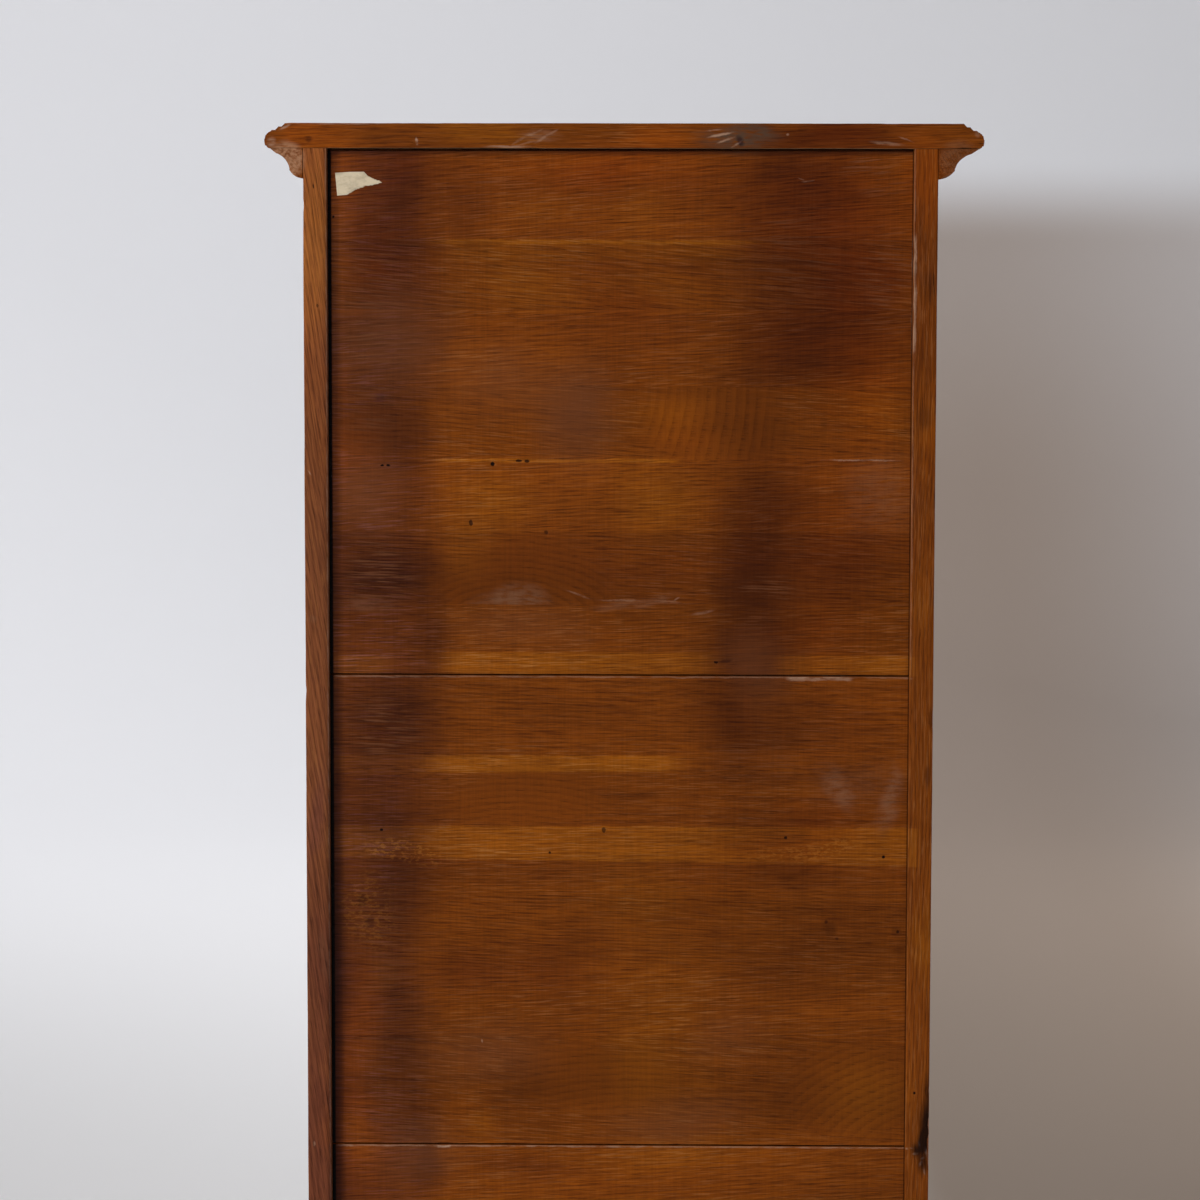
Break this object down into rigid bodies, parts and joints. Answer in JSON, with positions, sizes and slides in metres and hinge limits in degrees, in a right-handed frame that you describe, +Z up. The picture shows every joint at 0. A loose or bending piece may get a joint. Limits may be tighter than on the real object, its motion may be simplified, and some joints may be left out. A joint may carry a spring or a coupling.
{
  "type": "linen press",
  "caption": "Oak linen press: two panelled doors over two drawers on bracket feet, panelled sides, plank back, and a bevelled top over a small cornice.",
  "frame": {"origin": "on the floor, under the middle of the top board's outline", "axes": "+Z up; X across the front, +X to the right of a person who faces the doors; the doors and drawers face -Y, the back faces +Y"},
  "size_m": [0.792, 0.476, 1.78],
  "materials": {
    "oak": "old shellac over stained oak, satin",
    "back_oak": "thin smoky stain over oak, dull satin",
    "turned_oak": "polished stained oak",
    "brass": "aged, hand-rubbed",
    "iron": "dark, oiled"
  },
  "bodies": {
    "case": {"top_board": "oak", "cornice_front": "oak", "cornice_left": "oak", "cornice_right": "oak", "side_left_front_stile": "oak", "side_left_rear_stile": "oak", "side_left_rails": "oak", "side_left_panels": "oak", "side_right_front_stile": "oak", "side_right_rear_stile": "oak", "side_right_rails": "oak", "side_right_panels": "oak", "back_board_top": "back_oak", "back_board_middle": "back_oak", "back_board_bottom": "back_oak", "back_rail_top": "oak", "back_rail_bottom": "oak", "front_rail_top": "oak", "front_rail_middle": "oak", "front_rail_drawers": "oak", "front_rail_bottom": "oak", "cupboard_floor": "oak", "shelf_lower": "oak", "shelf_middle": "oak", "shelf_upper": "oak", "shelf_battens": "oak", "drawer_runners": "oak", "door_stop": "oak", "plinth_front": "oak", "plinth_left": "oak", "plinth_right": "oak", "hinge_case_leaves": "brass", "hinge_pins": "brass"},
    "door_left": {"door_left_hinge_stile": "oak", "door_left_meeting_stile": "oak", "door_left_rails": "oak", "door_left_panels": "oak", "door_left_hinge_leaves": "brass", "door_left_bolt_plates": "iron", "lock_keeper": "iron"},
    "door_right": {"door_right_hinge_stile": "oak", "door_right_meeting_stile": "oak", "door_right_rails": "oak", "door_right_panels": "oak", "door_right_hinge_leaves": "brass", "door_right_knob": "turned_oak", "lock_case": "iron", "escutcheon": "brass"},
    "drawer_upper": {"drawer_upper_front": "oak", "drawer_upper_box": "oak", "drawer_upper_bottom": "oak", "drawer_upper_knobs": "turned_oak"},
    "drawer_lower": {"drawer_lower_front": "oak", "drawer_lower_box": "oak", "drawer_lower_bottom": "oak", "drawer_lower_knobs": "turned_oak"},
    "bolt_top": {"bolt_rod_top": "iron"},
    "bolt_bottom": {"bolt_rod_bottom": "iron"},
    "key": {"key": "iron"},
    "lock_bolt": {"lock_bolt": "iron"}
  },
  "joints": [
    {"name": "door_left_hinge", "type": "hinge", "parent": "case", "child": "door_left", "pos_m": [-0.318, -0.1956, 1.108], "axis": [0, 0, -1], "range_deg": [0, 170]},
    {"name": "door_right_hinge", "type": "hinge", "parent": "case", "child": "door_right", "pos_m": [0.326, -0.1956, 1.108], "axis": [0, 0, 1], "range_deg": [0, 170]},
    {"name": "drawer_upper_slide", "type": "slide", "parent": "case", "child": "drawer_upper", "axis": [0, -1, 0], "range_m": [0, 0.3]},
    {"name": "drawer_lower_slide", "type": "slide", "parent": "case", "child": "drawer_lower", "axis": [0, -1, 0], "range_m": [0, 0.3]},
    {"name": "bolt_top_slide", "type": "slide", "parent": "door_left", "child": "bolt_top", "axis": [0, 0, 1], "range_m": [0, 0.016]},
    {"name": "bolt_bottom_slide", "type": "slide", "parent": "door_left", "child": "bolt_bottom", "axis": [0, 0, -1], "range_m": [0, 0.02]},
    {"name": "key_turn", "type": "hinge", "parent": "door_right", "child": "key", "pos_m": [0.034, -0.192, 0.965], "axis": [0, -1, 0], "range_deg": [0, 90]},
    {"name": "lock_bolt_slide", "type": "slide", "parent": "door_right", "child": "lock_bolt", "axis": [-1, 0, 0], "range_m": [0, 0.012]}
  ],
  "couplings": [
    {"joint": "lock_bolt_slide", "follows": "key_turn", "m_per_rad": 0.0076}
  ]
}
